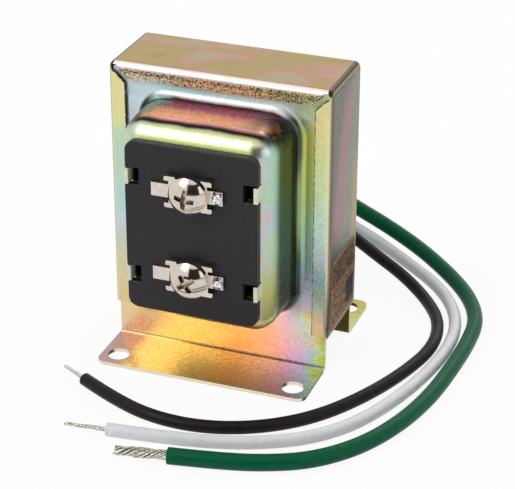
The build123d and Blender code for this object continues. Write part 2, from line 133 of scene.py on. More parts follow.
def curve_object(name, lines, radius, sides):
    """A tube along each line of control points, as one curve object."""
    curve = bpy.data.curves.new(name, "CURVE")
    curve.dimensions = "3D"
    for line in lines:
        spline = curve.splines.new("NURBS")
        spline.points.add(len(line) - 1)
        for point, place in zip(spline.points, line):
            point.co = (*place, 1)
            point.radius = radius
        spline.order_u = 3
        spline.use_endpoint_u = True
        spline.resolution_u = 8
    curve.bevel_depth = 1.0     # times each point's radius, which the curve's own box counts too
    curve.bevel_resolution = sides
    curve.use_fill_caps = True
    return new_piece(name, curve)


def twisted_end(colour):
    """The bared end of one lead: rings of fine wires of uneven length, wound round its axis."""
    route = [Vector(point) for point in ROUTES[colour]]
    start = route[-1]
    axis = (route[-1] - route[-2]).normalized()
    side = axis.cross(Vector((0, 0, 1))).normalized()
    up = side.cross(axis)
    bundle = BARE_RADIUS[colour]
    rings, thickness, turns, taper = BARE_WIRES[colour]
    lines = []
    for share, count in rings:
        for index in range(count):
            cut = 0.03 * ((index * 7) % 5) * share
            line = []
            for step in range(WIRE_STEPS + 1):
                along = step / WIRE_STEPS
                reach = BARE_LENGTH[colour] * along * (1 - cut)
                angle = 2 * math.pi * (index / count + turns * along)
                loose = 0.86 + 0.14 * math.sin(3 * along + index)
                spread = bundle * share * loose * (1 - taper * along)
                offset = side * math.cos(angle) * spread + up * math.sin(angle) * spread
                line.append(start + axis * (reach - WIRE_START) + offset)
            lines.append(line)
    return curve_object(colour + "_lead_bare_wires", lines, bundle * thickness, 2)


leads = {}
bare_ends = {}
for colour, route in ROUTES.items():
    lead = curve_object(colour + "_lead_insulation", [route], LEAD_RADIUS[colour], 8)
    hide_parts(colour + "_lead")
    bare = twisted_end(colour)
    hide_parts(colour + "_lead_strands")
    leads[colour] = lead
    bare_ends[colour] = bare


def rgb(red, green, blue):
    """A colour given as it shows on screen, from 0 to 255, in linear light."""
    linear = []
    for value in (red, green, blue):
        share = value / 255
        linear.append(share / 12.92 if share <= 0.04045 else ((share + 0.055) / 1.055) ** 2.4)
    return (*linear, 1.0)


def soft_step(tree, low, high, start, end):
    """A node that runs smoothly from start to end while its value runs from low to high."""
    node = tree.nodes.new("ShaderNodeMapRange")
    node.interpolation_type = "SMOOTHSTEP"
    node.inputs["From Min"].default_value = low
    node.inputs["From Max"].default_value = high
    node.inputs["To Min"].default_value = start
    node.inputs["To Max"].default_value = end
    return node


MM = 1000                       # millimetres in a metre
MIX_FIRST, MIX_SECOND = 6, 7    # the colour inputs of a mix node
MIX_RESULT = 2                  # and its colour output


class Finish:
    """A procedural material, with short names for the nodes that it is built from."""

    def __init__(self, name, metallic=0.0):
        self.material = bpy.data.materials.new(name)
        self.material.use_nodes = True
        self.tree = self.material.node_tree
        self.shader = self.tree.nodes["Principled BSDF"]
        self.shader.inputs["Metallic"].default_value = metallic
        coordinates = self.tree.nodes.new("ShaderNodeTexCoord")
        scale = self.tree.nodes.new("ShaderNodeVectorMath")
        scale.operation = "SCALE"
        scale.inputs["Scale"].default_value = MM
        self.tree.links.new(coordinates.outputs["Object"], scale.inputs[0])
        self.place = scale.outputs[0]
        self.x, self.y, self.z = self.split(self.place)
        self.normal_x, self.normal_y, self.normal_z = self.split(coordinates.outputs["Normal"])

    def feed(self, socket, value):
        if isinstance(value, bpy.types.NodeSocket):
            self.tree.links.new(value, socket)
        else:
            socket.default_value = value

    def split(self, vector):
        node = self.tree.nodes.new("ShaderNodeSeparateXYZ")
        self.tree.links.new(vector, node.inputs[0])
        return node.outputs[0], node.outputs[1], node.outputs[2]

    def math(self, operation, first, second=0.0, clamp=False):
        node = self.tree.nodes.new("ShaderNodeMath")
        node.operation = operation
        node.use_clamp = clamp
        self.feed(node.inputs[0], first)
        self.feed(node.inputs[1], second)
        return node.outputs[0]

    def add(self, *values):
        total = values[0]
        for value in values[1:]:
            total = self.math("ADD", total, value)
        return total

    def times(self, *values):
        total = values[0]
        for value in values[1:]:
            total = self.math("MULTIPLY", total, value)
        return total

    def minus(self, first, second, clamp=False):
        return self.math("SUBTRACT", first, second, clamp)

    def absolute(self, value):
        return self.math("ABSOLUTE", value)

    def step(self, value, low, high, start=0.0, end=1.0):
        node = soft_step(self.tree, low, high, start, end)
        self.feed(node.inputs["Value"], value)
        return node.outputs[0]

    def fall(self, value, low, high, start=1.0):
        return self.step(value, low, high, start, 0.0)

    def band(self, value, low, high, soft):
        """One between low and high, with soft edges."""
        rise = self.step(value, low - soft, low + soft)
        return self.times(rise, self.fall(value, high - soft, high + soft))

    def noise(self, scale, detail=2.0, roughness=0.5, distortion=0.0, stretch=(1, 1, 1), seed=0.0):
        mapping = self.tree.nodes.new("ShaderNodeMapping")
        mapping.inputs["Location"].default_value = (seed, seed * 1.7, seed * 2.3)
        mapping.inputs["Scale"].default_value = stretch
        self.tree.links.new(self.place, mapping.inputs["Vector"])
        node = self.tree.nodes.new("ShaderNodeTexNoise")
        self.tree.links.new(mapping.outputs[0], node.inputs["Vector"])
        node.inputs["Scale"].default_value = scale
        node.inputs["Detail"].default_value = detail
        node.inputs["Roughness"].default_value = roughness
        node.inputs["Distortion"].default_value = distortion
        return node.outputs[0]

    def ramp(self, factor, stops):
        node = self.tree.nodes.new("ShaderNodeValToRGB")
        elements = node.color_ramp.elements
        while len(elements) < len(stops):
            elements.new(0.5)
        for element, (position, colour) in zip(elements, stops):
            element.position = position
            element.color = colour
        self.feed(node.inputs[0], factor)
        return node.outputs[0]

    def mix(self, factor, first, second, blend="MIX"):
        node = self.tree.nodes.new("ShaderNodeMix")
        node.data_type = "RGBA"
        node.blend_type = blend
        self.feed(node.inputs[0], factor)
        self.feed(node.inputs[MIX_FIRST], first)
        self.feed(node.inputs[MIX_SECOND], second)
        return node.outputs[MIX_RESULT]

    def colour(self, value):
        self.feed(self.shader.inputs["Base Color"], value)

    def rough(self, value):
        self.feed(self.shader.inputs["Roughness"], value)

    def bump(self, height, distance, strength):
        node = self.tree.nodes.new("ShaderNodeBump")
        node.inputs["Strength"].default_value = strength
        node.inputs["Distance"].default_value = distance
        self.feed(node.inputs["Height"], height)
        self.tree.links.new(node.outputs[0], self.shader.inputs["Normal"])


# Colours that yellow zinc plate runs through as its film grows thicker
RAINBOW = [
    (0.00, rgb(122, 124, 70)),
    (0.12, rgb(186, 196, 112)),
    (0.24, rgb(238, 190, 96)),
    (0.35, rgb(240, 160, 84)),
    (0.46, rgb(232, 158, 150)),
    (0.56, rgb(214, 176, 200)),
    (0.66, rgb(184, 206, 216)),
    (0.76, rgb(160, 208, 188)),
    (0.87, rgb(196, 212, 130)),
    (1.00, rgb(188, 166, 104)),
]


def film_noise(finish, amount, seed):
    """How far the film's thickness strays from its mean, in large clouds and small patches."""
    cloud = finish.noise(0.06, 2.5, 0.5, 0.8, seed=seed)
    patch = finish.noise(0.2, 2.0, 0.5, 0.4, seed=seed + 11)
    large = finish.times(finish.minus(cloud, 0.5), amount * 2)
    small = finish.times(finish.minus(patch, 0.5), amount * 0.7)
    return finish.add(large, small)


def drift(finish, size, reach, seed=0.0, stretch=(1, 1, 1)):
    """Cloudy values about zero, which bend the edges of the colour zones."""
    cloud = finish.noise(size, 2.5, 0.55, 0.4, stretch, seed)
    return finish.times(finish.minus(cloud, 0.5), reach)


def adrift(finish, value, size, reach, seed):
    return finish.add(value, drift(finish, size, reach, seed))


def share_of(finish, value, low, high):
    """Where a value lies between low and high, as a share."""
    return finish.math("DIVIDE", finish.minus(value, low), high - low)


# Places on the plated sheet, in millimetres
COVER_FACE = 8.8            # from the middle of the core to a cover's plate
PLATE_ACROSS = (-24, 24)    # where the plate's colour zones start and end
PLATE_UP = (0, 64)
DOME_WALL = 9.8             # height of the dome's wall up to its nose
NOSE_RADIUS = 5.0
DOME_SHEET = 17.65          # length of sheet over wall and nose
BAND_SIDE = round(band_side * MM, 2)
BAND_TOP = round(cad_box[1][2] * MM, 2)
FLANGE_UP = (8, 62)
LIP_EDGE = (61.3, 61.45)
PLATE_METALLIC = 0.9


def plated(finish, colour):
    """Grain and roughness that all the plated sheet shares."""
    grain = finish.noise(3.2, 2.0, 0.5)
    tone = finish.ramp(grain, [(0.32, rgb(240, 240, 238)), (0.68, rgb(255, 255, 255))])
    finish.colour(finish.mix(0.5, colour, finish.mix(1.0, colour, tone, "MULTIPLY")))
    finish.rough(finish.step(finish.noise(0.9, 3.0), 0.3, 0.7, 0.23, 0.31))
    finish.bump(grain, 0.000006, 0.08)


def front_flat(finish, reach):
    """The front cover's plate, by side and height, and its foot."""
    x, z = finish.x, finish.z
    wander = finish.add(drift(finish, 0.1, 9.0), drift(finish, 0.45, 9.0, 21.0, (0.14, 1, 1)))
    gold = [
        (0.00, rgb(238, 206, 178)), (0.07, rgb(250, 216, 160)), (0.30, rgb(252, 222, 152)),
        (0.44, rgb(255, 220, 150)), (0.54, rgb(255, 204, 142)), (0.66, rgb(255, 212, 170)),
        (0.78, rgb(252, 206, 200)), (0.87, rgb(232, 208, 232)), (0.925, rgb(200, 226, 220)),
        (0.965, rgb(222, 228, 144)), (1.00, rgb(200, 204, 116)),
    ]
    rise = finish.times(finish.minus(z, 6.0), 0.4)
    low = finish.ramp(share_of(finish, finish.add(x, wander, rise), *PLATE_ACROSS), gold)
    outward = finish.times(reach, -0.25)
    foot = finish.ramp(share_of(finish, finish.add(x, wander, outward), *PLATE_ACROSS), gold)
    left_end = finish.fall(adrift(finish, x, 0.3, 4.0, 8.0), -19, -15.5, 0.85)
    foot = finish.mix(left_end, foot, rgb(178, 142, 142))
    high = finish.ramp(share_of(finish, finish.add(x, wander), *PLATE_ACROSS), [
        (0.05, rgb(214, 226, 235)), (0.35, rgb(208, 254, 255)), (0.66, rgb(232, 255, 255)),
        (0.84, rgb(242, 255, 255)), (0.93, rgb(210, 224, 168)),
    ])
    tall = share_of(finish, finish.add(z, wander), *PLATE_UP)
    right = finish.ramp(tall, [
        (0.18, rgb(240, 184, 192)), (0.26, rgb(208, 198, 218)), (0.36, rgb(178, 208, 210)),
        (0.50, rgb(168, 206, 174)), (0.64, rgb(186, 208, 122)), (0.80, rgb(202, 206, 106)),
        (0.94, rgb(206, 212, 140)),
    ])
    left = finish.ramp(tall, [
        (0.18, rgb(240, 200, 150)), (0.30, rgb(236, 190, 186)), (0.45, rgb(190, 206, 214)),
        (0.62, rgb(178, 214, 196)), (0.78, rgb(206, 180, 206)), (0.90, rgb(196, 212, 218)),
    ])
    flat = finish.mix(finish.step(x, -2, 2), left, right)
    flat = finish.mix(finish.fall(z, 11.5, 15.5), flat, low)
    flat = finish.mix(finish.step(z, 55, 60), flat, high)
    return finish.mix(finish.step(reach, 0.5, 0.9), flat, foot)


def dome_top(finish, along):
    """The dome's upper side: warm, cooler at its left end and dusky with painted shade towards its
    right end, with painted highlights and reflections along it.
    """
    x = finish.x
    # painted light in both ramps: a highlight at the root, a dark reflection where the wall turns
    # into the nose, a highlight round the nose and shade at its end by the board
    warm = finish.ramp(along, [
        (0.00, rgb(238, 252, 252)), (0.045, rgb(236, 228, 232)), (0.075, rgb(104, 36, 50)),
        (0.15, rgb(134, 30, 58)), (0.25, rgb(198, 80, 106)), (0.36, rgb(248, 162, 158)),
        (0.48, rgb(252, 196, 146)), (0.585, rgb(240, 168, 158)), (0.625, rgb(150, 96, 84)),
        (0.65, rgb(26, 22, 18)), (0.68, rgb(40, 36, 28)), (0.715, rgb(194, 200, 154)),
        (0.76, rgb(216, 222, 170)), (0.91, rgb(204, 212, 146)), (0.955, rgb(110, 130, 86)),
        (0.98, rgb(40, 50, 34)),
    ])
    cool = finish.ramp(along, [
        (0.00, rgb(214, 232, 226)), (0.085, rgb(206, 226, 220)), (0.12, rgb(44, 48, 46)),
        (0.19, rgb(122, 150, 138)), (0.36, rgb(160, 178, 150)), (0.55, rgb(226, 176, 140)),
        (0.62, rgb(120, 110, 84)), (0.65, rgb(26, 26, 22)), (0.685, rgb(44, 46, 38)),
        (0.72, rgb(206, 222, 206)), (0.80, rgb(230, 242, 222)), (0.93, rgb(190, 206, 160)),
        (0.98, rgb(44, 56, 38)),
    ])
    cloudy = finish.fall(adrift(finish, x, 0.14, 16.0, 31.0), -12.5, -8.5)
    top = finish.mix(cloudy, warm, cool)
    # painted shade: the top turns a dusky teal towards its right end, along the wall
    to_right = finish.step(adrift(finish, x, 0.2, 6.0, 37.0), 6, 12)
    dusk = finish.times(to_right, finish.band(along, 0.12, 0.6, 0.05))
    return finish.mix(finish.times(dusk, 0.5), top, rgb(46, 98, 94))


def dome_side(finish, along):
    """The dome's other sides: painted shade up the wall, then tinted round the nose."""
    z = finish.z
    side = finish.ramp(along, [
        (0.00, rgb(64, 80, 50)), (0.06, rgb(30, 38, 26)), (0.11, rgb(16, 22, 16)),
        (0.20, rgb(28, 42, 24)), (0.40, rgb(44, 66, 38)), (0.53, rgb(60, 88, 56)),
        (0.61, rgb(112, 144, 122)), (0.70, rgb(176, 204, 186)), (0.80, rgb(204, 208, 190)),
        (0.90, rgb(196, 202, 142)), (1.00, rgb(204, 204, 118)),
    ])
    tinted = finish.ramp(finish.add(0.72, film_noise(finish, 0.75, 5.0)), RAINBOW)
    side = finish.mix(finish.step(along, 0.56, 0.7, 0.1, 0.5), side, tinted)
    olive = finish.fall(adrift(finish, z, 0.15, 10.0, 27.0), 24, 36, 0.8)
    side = finish.mix(finish.times(olive, finish.step(along, 0.5, 0.7)), side, rgb(190, 182, 86))
    # the root lies in less shade halfway up
    glint = finish.times(finish.fall(along, 0.03, 0.09, 0.8), finish.band(z, 30, 46, 5))
    return finish.mix(glint, side, rgb(156, 178, 124))


def front_dome(finish, reach):
    """The dome, by the length of sheet from its root: up the wall, then round its nose."""
    turn = finish.math("ARCSINE", finish.times(finish.normal_y, -0.999))
    wall = finish.math("MINIMUM", reach, DOME_WALL)
    nose = finish.times(finish.step(reach, 9.0, DOME_WALL), turn, NOSE_RADIUS)
    length = adrift(finish, finish.add(wall, nose), 0.12, 1.3, 3.0)
    along = finish.math("DIVIDE", length, DOME_SHEET)
    across = finish.absolute(finish.normal_x)
    spread = finish.add(across, finish.absolute(finish.normal_z), 0.001)
    lean = adrift(finish, finish.math("DIVIDE", finish.normal_z, spread), 0.2, 0.35, 14.0)
    # the sides, in painted shade, and the top are told apart by which way the sheet faces
    upward = finish.step(lean, 0.46, 0.7)
    dome = finish.mix(upward, dome_side(finish, along), dome_top(finish, along))
    # painted shade, darkest where the top turns into the sides
    gloom = finish.times(finish.band(lean, 0.4, 0.72, 0.12), finish.band(along, 0.14, 0.7, 0.06))
    ember = finish.step(finish.noise(0.22, 2.0, seed=41.0), 0.54, 0.64)
    dark = finish.mix(ember, rgb(24, 28, 20), rgb(170, 96, 44))
    return finish.mix(finish.times(gloom, 0.9), dome, dark)


def front_plating():
    """The front cover: plate, foot and dome, then tabs, sheared edges and painted shade."""
    finish = Finish("front_cover_plating")
    x, z = finish.x, finish.z
    across = finish.absolute(finish.normal_x)
    reach = finish.minus(finish.times(finish.y, -1), COVER_FACE)
    on_dome = finish.times(finish.step(reach, 0.05, 0.4), finish.step(z, 9.5, 11))
    colour = finish.mix(on_dome, front_flat(finish, reach), front_dome(finish, reach))
    # lanced tabs
    front_face = finish.step(reach, 16.3, 16.5)
    on_tab = finish.times(
        finish.step(reach, 13.6, 13.9),
        finish.band(finish.absolute(x), 13.5, 14.5, 0.05),
        finish.step(finish.add(across, front_face), 0.4, 0.7),
    )
    colour = finish.mix(on_tab, colour, rgb(222, 228, 206))
    # sheared edges of the foot and the walls of its holes, painted light where they face forward
    # and painted shade elsewhere, and the fold above it
    level = finish.absolute(finish.normal_z)
    sheared = finish.times(
        finish.fall(level, 0.2, 0.5), finish.fall(z, 0.85, 0.95), finish.step(reach, 0.7, 1.0)
    )
    forward = finish.fall(finish.normal_y, -0.8, -0.5)
    edge = finish.mix(forward, rgb(84, 72, 56), rgb(238, 226, 204))
    colour = finish.mix(sheared, colour, edge)
    # painted shade in the fold above the foot
    fold = finish.times(
        finish.band(level, 0.25, 0.85, 0.12),
        finish.fall(reach, 0.42, 0.5),
        finish.fall(z, 1.3, 1.5),
    )
    colour = finish.mix(finish.times(fold, 0.75), colour, rgb(112, 78, 50))
    # the sheet beside the dome's right wall, which the wall keeps dark
    ends = finish.add(finish.step(z, 46, 52), finish.fall(z, 24, 32))
    beside = finish.times(
        finish.band(x, 15.5, 18.2, 0.7), finish.band(z, 14, 58, 4), finish.fall(reach, 0.3, 0.6)
    )
    colour = finish.mix(finish.times(beside, ends, 0.5), colour, rgb(40, 48, 36))
    plated(finish, colour)
    # satin just under the lip and on the tabs
    satin = finish.times(finish.step(z, 57.0, 58.5), finish.fall(reach, 1.0, 2.0, 0.6))
    satin = finish.add(satin, finish.times(on_tab, 0.7))
    metallic = finish.minus(PLATE_METALLIC, satin, clamp=True)
    finish.feed(finish.shader.inputs["Metallic"], metallic)
    return finish.material


def band_flange(finish, off_x):
    """The band's turned-in edges down its sides."""
    x, z = finish.x, finish.z
    height = adrift(finish, z, 0.12, 12.0, 7.0)
    flange = finish.ramp(share_of(finish, height, *FLANGE_UP), [
        (0.02, rgb(206, 204, 146)), (0.09, rgb(230, 196, 160)), (0.17, rgb(188, 210, 188)),
        (0.26, rgb(172, 208, 208)), (0.36, rgb(208, 220, 226)), (0.48, rgb(200, 230, 210)),
        (0.62, rgb(214, 232, 186)), (0.78, rgb(220, 228, 158)), (0.90, rgb(236, 222, 164)),
        (1.00, rgb(230, 222, 156)),
    ])
    on_left = finish.fall(x, -5, 5)
    chill = finish.times(on_left, finish.band(adrift(finish, z, 0.15, 10.0, 91.0), 30, 50, 4))
    flange = finish.mix(finish.times(chill, 0.5), flange, rgb(168, 206, 218))
    thaw = finish.times(on_left, finish.fall(adrift(finish, z, 0.15, 8.0, 93.0), 20, 30, 0.6))
    flange = finish.mix(thaw, flange, rgb(236, 212, 156))
    mottle = finish.step(finish.noise(0.11, 2.0, seed=51.0), 0.52, 0.64)
    peach = finish.times(finish.step(off_x, 22.8, 24.2), mottle)
    return finish.mix(finish.times(peach, 0.7), flange, rgb(234, 200, 146))


def lip_sand(finish):
    """The speckled face of the lip, below its bright bend."""
    z = finish.z
    grit = finish.noise(2.9, 2.0, 0.6, stretch=(1, 1, 1.3))
    mottle = finish.step(finish.noise(0.09, 2.0, seed=61.0), 0.42, 0.58)
    pale = finish.mix(mottle, rgb(236, 208, 180), rgb(218, 210, 144))
    pale = finish.mix(finish.fall(z, 61.8, 62.6, 0.6), pale, rgb(212, 222, 184))
    sand = finish.mix(finish.step(grit, 0.41, 0.55), rgb(58, 42, 30), pale)
    # painted dark reflection: a darker band at the foot of the lip's bright bend
    dusk = finish.times(finish.band(z, 62.8, 63.5, 0.35), finish.step(grit, 0.42, 0.62, 0.85, 0.2))
    return finish.mix(dusk, sand, rgb(62, 46, 36))


def side_panel(finish):
    """A side panel, darkened with painted shade, with a streak that leans to the rear as it rises.
    """
    y, z = finish.y, finish.z
    middle = finish.times(finish.minus(z, 52.0), 0.25)
    aside = finish.minus(adrift(finish, y, 0.08, 5.0, 9.0), middle)
    # painted shade: the panel's dark grey-green tone
    panel = finish.mix(finish.step(aside, -2.5, 3.5), rgb(74, 80, 66), rgb(108, 116, 92))
    panel = finish.mix(finish.fall(z, 20, 34, 0.8), panel, rgb(102, 102, 102))
    streak = finish.times(finish.fall(finish.absolute(aside), 1.8, 5.0), finish.band(z, 30, 61, 5))
    panel = finish.mix(finish.times(streak, 0.85), panel, rgb(148, 92, 98))
    to_rear = finish.step(adrift(finish, y, 0.15, 5.0, 12.0), 3.0, 7.0)
    amber = finish.times(to_rear, finish.band(z, 18, 44, 6))
    return finish.mix(finish.times(amber, 0.85), panel, rgb(162, 136, 82))


def band_plating():
    """The clamp band: flanges and lip with painted shadow along their edges, then top, bends and
    sides.
    """
    finish = Finish("clamp_band_plating", PLATE_METALLIC)
    z, up = finish.z, finish.normal_z
    off_x = finish.absolute(finish.x)
    across = finish.absolute(finish.normal_x)
    level = finish.absolute(finish.normal_y)
    # how far a point lies inside the slanted mitre between flange and lip
    inset = finish.minus(finish.minus(BAND_SIDE, off_x), finish.minus(BAND_TOP, z))
    on_lip = finish.times(finish.step(inset, -0.3, 0.0), finish.step(z, *LIP_EDGE))
    # painted shadow: dark lines along the edges of flange and mitre
    edge_shadow = finish.add(finish.fall(off_x, 20.95, 21.1), finish.step(inset, -1.15, -1.0))
    broken = finish.step(finish.noise(1.2, 2.0, seed=71.0), 0.36, 0.5, 0.3, 0.95)
    edge_shadow = finish.times(finish.math("MINIMUM", edge_shadow, 1.0), broken)
    flange = finish.mix(edge_shadow, band_flange(finish, off_x), rgb(84, 68, 44))
    colour = finish.mix(on_lip, flange, lip_sand(finish))
    # painted highlight: the lip's bend is pale pinkish white
    lip_highlight = finish.ramp(drift(finish, 0.2, 2.0, 17.0), [
        (0.00, rgb(252, 232, 226)), (0.35, rgb(250, 214, 208)),
    ])
    bend = finish.times(finish.step(up, 0.14, 0.24), on_lip)
    colour = finish.mix(bend, colour, lip_highlight)
    # painted dark reflection: a thin dark line where the bend meets the top
    crest = finish.times(finish.step(up, 0.955, 0.975), on_lip)
    colour = finish.mix(crest, colour, rgb(76, 56, 44))
    # top, and the bends between it, the edges and the side panels
    top = finish.ramp(finish.noise(0.075, 2.5, 0.5, 0.6, (1, 1.5, 1), 4.0), [
        (0.32, rgb(160, 138, 82)), (0.43, rgb(176, 152, 88)), (0.52, rgb(172, 148, 92)),
        (0.59, rgb(194, 142, 122)), (0.70, rgb(162, 166, 126)),
    ])
    corner = finish.mix(finish.step(across, 0.5, 0.8), rgb(226, 216, 178), rgb(140, 122, 96))
    ridge = finish.mix(finish.step(across, 0.72, 0.9), rgb(60, 44, 36), rgb(156, 152, 92))
    upright = finish.times(finish.step(across, 0.3, 0.5), finish.fall(up, 0.2, 0.5))
    colour = finish.mix(upright, colour, corner)
    on_top = finish.times(finish.step(up, 0.9, 0.985), finish.step(z, 64.4, 64.7))
    colour = finish.mix(on_top, colour, top)
    slanted = finish.times(finish.step(across, 0.1, 0.25), finish.step(up, 0.12, 0.3))
    colour = finish.mix(slanted, colour, ridge)
    turned = finish.step(across, 0.9, 0.985)
    colour = finish.mix(turned, colour, side_panel(finish))
    # sheared edges along the flanges and mitres
    sheared = finish.times(
        finish.fall(level, 0.2, 0.4), finish.fall(off_x, 23.5, 23.7), finish.fall(z, 63.5, 63.7)
    )
    colour = finish.mix(sheared, colour, rgb(46, 36, 32))
    plated(finish, colour)
    return finish.material


def rear_plating():
    """The rear cover: a plain film, with darker dome walls and a straw-coloured foot."""
    finish = Finish("rear_cover_plating", PLATE_METALLIC)
    reach = finish.minus(finish.y, COVER_FACE)
    colour = finish.ramp(finish.add(0.77, film_noise(finish, 0.42, 13.0)), RAINBOW)
    wall = finish.times(finish.band(reach, 1.6, 10.5, 1.2), finish.step(finish.z, 9.5, 11))
    colour = finish.mix(finish.times(wall, 0.6), colour, rgb(84, 104, 76))
    foot = finish.times(finish.fall(finish.z, 7, 11), 0.85)
    straw = finish.ramp(finish.noise(0.12, 2.0, seed=15.0), [
        (0.4, rgb(196, 178, 92)), (0.6, rgb(206, 206, 124)),
    ])
    colour = finish.mix(foot, colour, straw)
    # painted shade on the inner face of the rear upright, just above the foot
    inner = finish.times(finish.fall(finish.normal_y, -0.8, -0.5), finish.fall(finish.z, 7.5, 8.5))
    colour = finish.mix(inner, colour, rgb(74, 58, 22))
    plated(finish, colour)
    return finish.material


def simple(
    name, dark, light, metallic, roughness, scale,
    bump=0.00002, stretch=(1, 1, 1), specular=0.5, spread=0.2,
):
    """A two-tone finish with a grain of its own."""
    finish = Finish(name, metallic)
    finish.shader.inputs["Specular IOR Level"].default_value = specular
    grain = finish.noise(scale, 4.0, 0.6, 0.0, stretch)
    finish.colour(finish.ramp(grain, [(0.5 - spread, rgb(*dark)), (0.5 + spread, rgb(*light))]))
    wear = finish.noise(scale * 0.3, 3.0)
    finish.rough(finish.step(wear, 0.3, 0.7, roughness - 0.06, roughness + 0.06))
    finish.bump(grain, bump, 0.35)
    return finish.material


def screw_plate():
    """Nickel for the screws, with painted brown shade in the star recess of each head."""
    crown = 0.095       # how far the head falls back, for each square millimetre from its axis
    finish = Finish("screw_nickel", 1.0)
    low, high = (Vector(corner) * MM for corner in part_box("upper_terminal_screw"))
    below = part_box("lower_terminal_screw")[0][2] * MM
    pitch = low.z - below
    from_axis = finish.minus(finish.x, (low.x + high.x) / 2)
    # both screws lie at the same height from the level between them
    between = (low.z + high.z - pitch) / 2
    height = finish.minus(finish.absolute(finish.minus(finish.z, between)), pitch / 2)
    square = finish.add(finish.times(from_axis, from_axis), finish.times(height, height))
    # how far a point lies behind the crown of the head
    sunk = finish.minus(finish.minus(finish.y, low.y), finish.times(square, crown))
    # painted shade: the star recess of each head is darkened to brown
    recess = finish.times(finish.step(sunk, 0.1, 0.5), finish.fall(square, 7.0, 9.0))
    grain = finish.noise(0.8, 3.0, 0.5)
    bright = finish.ramp(grain, [(0.3, rgb(204, 193, 182)), (0.7, rgb(218, 207, 196))])
    finish.colour(finish.mix(finish.times(recess, 0.9), bright, rgb(180, 166, 148)))
    finish.rough(finish.step(finish.noise(0.5, 2.0), 0.3, 0.7, 0.09, 0.15))
    finish.bump(grain, 0.00001, 0.3)
    return finish.material


def foil():
    """A bare plate of gold-brown foil: a dark field above, coarse grain and a dark block below."""
    finish = Finish("plate_foil")
    finish.shader.inputs["Specular IOR Level"].default_value = 0.1
    y, z = finish.y, finish.z
    grain = finish.noise(1.6, 4.0, 0.6, 0.0, (1, 1, 2.2))
    ground = finish.ramp(grain, [
        (0.36, rgb(112, 80, 52)), (0.50, rgb(146, 108, 74)), (0.64, rgb(184, 142, 102)),
    ])
    worn = finish.step(finish.noise(1.3, 3.0, 0.6, 0.0, (1, 1, 0.5), 33.0), 0.47, 0.53)
    lower = finish.times(finish.band(z, 10.2, 18.4, 0.5), finish.band(y, -7.4, 7.2, 0.5))
    ground = finish.mix(finish.times(lower, worn, 0.85), ground, rgb(52, 37, 24))
    field = finish.times(finish.band(z, 18.9, 24.8, 0.2), finish.band(y, -7.8, 7.2, 0.2))
    deep = finish.ramp(grain, [
        (0.42, rgb(28, 20, 12)), (0.52, rgb(66, 50, 28)), (0.62, rgb(160, 124, 78)),
    ])
    colour = finish.mix(field, ground, deep)
    block = finish.times(finish.band(z, 11.3, 16.8, 0.3), finish.band(y, 2.0, 7.0, 0.3))
    colour = finish.mix(block, colour, rgb(36, 27, 30))
    finish.colour(colour)
    finish.rough(finish.step(grain, 0.3, 0.7, 0.4, 0.6))
    finish.bump(grain, 0.00003, 0.3)
    return finish.material


def mesh_piece(name, work):
    """A piece made of a finished bmesh, which is freed."""
    mesh = bpy.data.meshes.new(name)
    work.to_mesh(mesh)
    work.free()
    return new_piece(name, mesh)


# The thin plate stuck to the right side of the band, in metres
FOIL_THICKNESS = 0.0001
FOIL_FRONT, FOIL_REAR = -0.0082, 0.0076
FOIL_LOW, FOIL_HIGH = 0.0093, 0.0255
FOIL_CORNER = 0.0006


def foil_plate():
    work = bmesh.new()
    face = band_side + FOIL_THICKNESS
    outline = (
        (FOIL_FRONT, FOIL_LOW), (FOIL_REAR, FOIL_LOW),
        (FOIL_REAR, FOIL_HIGH), (FOIL_FRONT, FOIL_HIGH),
    )
    work.faces.new([work.verts.new((face, y, z)) for y, z in outline])
    bmesh.ops.bevel(work, geom=work.verts[:], offset=FOIL_CORNER, segments=4, affect="VERTICES")
    sides = bmesh.ops.extrude_face_region(work, geom=work.faces[:])
    back = [item for item in sides["geom"] if isinstance(item, bmesh.types.BMVert)]
    bmesh.ops.translate(work, verts=back, vec=(-FOIL_THICKNESS, 0, 0))
    bmesh.ops.recalc_face_normals(work, faces=work.faces[:])
    piece = mesh_piece("side_plate", work)
    return piece


def solder_lump(name, seed):
    """Solder that froze in lumps over the end of a terminal strip."""
    low, high = (Vector(corner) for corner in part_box(name + "_solder_joint"))
    middle = (low + high) / 2
    middle.y = high.y
    half = Vector(((high.x - low.x) / 2, high.y - low.y, (high.z - low.z) / 2)) * 0.97
    work = bmesh.new()
    bmesh.ops.create_cube(work, size=2)
    bmesh.ops.subdivide_edges(work, edges=work.edges[:], cuts=11, use_grid_fill=True)
    for vert in work.verts:
        # a block with round edges, then lumps, then lower and narrower to the right
        size = sum(abs(value) ** 5 for value in vert.co) ** 0.2
        place = vert.co / size
        coarse = noise.noise(place * 1.7 + Vector((seed, 0, 0)))
        fine = noise.noise(place * 4.1 + Vector((0, seed, 0)))
        place *= 0.9 + 0.16 * (coarse + 0.5 * fine)
        slope = 1 - 0.3 * max(0.0, place.x)
        taper = 1 - 0.1 * place.x
        offset = (place.x * half.x, place.y * half.y * slope, place.z * half.z * taper)
        vert.co = middle + Vector(offset)
    for face in work.faces:
        face.smooth = True
    piece = mesh_piece(name + "_solder_lump", work)
    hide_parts(name + "_solder_joint")
    return piece


